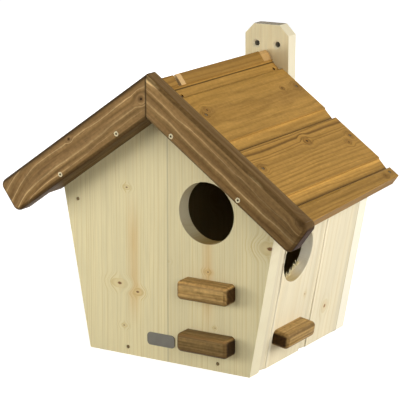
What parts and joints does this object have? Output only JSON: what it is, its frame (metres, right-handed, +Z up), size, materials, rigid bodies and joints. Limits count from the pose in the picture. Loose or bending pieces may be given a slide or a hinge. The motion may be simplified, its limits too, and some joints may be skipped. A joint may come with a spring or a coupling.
{
  "type": "squirrel house",
  "caption": "Gabled pine squirrel house with round entrances in front and side, climbing steps, stained board roof, barge boards, hanging board and a left wall that swings out.",
  "frame": {"origin": "on the ground under the middle of the overall box", "axes": "+X to the right seen from the front, +Y from the front to the back, +Z up"},
  "size_m": [0.393, 0.285, 0.355],
  "materials": {
    "front_pine": "planed, bare",
    "wall_pine": "planed, bare",
    "planed_pine": "planed, bare",
    "roof_stain": "orange-brown stain, satin",
    "barge_stain": "dark brown stain, satin",
    "step_stain": "brown stain, satin",
    "label_grey": "matt grey",
    "nail_steel": "dull",
    "screw_steel": "zinc plated"
  },
  "bodies": {
    "house": {"back_left_board": "wall_pine", "back_right_board": "wall_pine", "barge_board_left": "barge_stain", "barge_board_right": "barge_stain", "barge_nails": "nail_steel", "eave_pins": "nail_steel", "floor_board": "wall_pine", "floor_nails": "nail_steel", "front_left_board": "front_pine", "front_right_board": "front_pine", "front_step_lower": "step_stain", "front_step_screws": "screw_steel", "front_step_upper": "step_stain", "gable_batten_left": "barge_stain", "gable_batten_right": "barge_stain", "hanging_board": "planed_pine", "hanging_board_screws": "screw_steel", "label_plate": "label_grey", "pivot_nails": "nail_steel", "ridge_front_block": "roof_stain", "ridge_rear_block": "roof_stain", "ridge_strip": "roof_stain", "right_wall_front_board": "wall_pine", "right_wall_rear_board": "wall_pine", "roof_left_eave_strip": "roof_stain", "roof_left_lower_board": "roof_stain", "roof_left_top_strip": "roof_stain", "roof_left_upper_board": "roof_stain", "roof_nails": "nail_steel", "roof_right_eave_strip": "roof_stain", "roof_right_lower_board": "roof_stain", "roof_right_top_strip": "roof_stain", "roof_right_upper_board": "roof_stain", "side_step": "step_stain", "side_step_screws": "screw_steel", "strip_nails": "nail_steel"},
    "left_wall": {"left_wall_front_board": "wall_pine", "left_wall_rear_board": "wall_pine", "left_wall_ledger": "wall_pine", "ledger_nails": "nail_steel"}
  },
  "joints": [
    {"name": "left_wall_swing", "type": "hinge", "parent": "house", "child": "left_wall", "pos_m": [-0.12068, 0.0125, 0.17419], "axis": [0, 1, 0], "range_deg": [0, 90]}
  ]
}
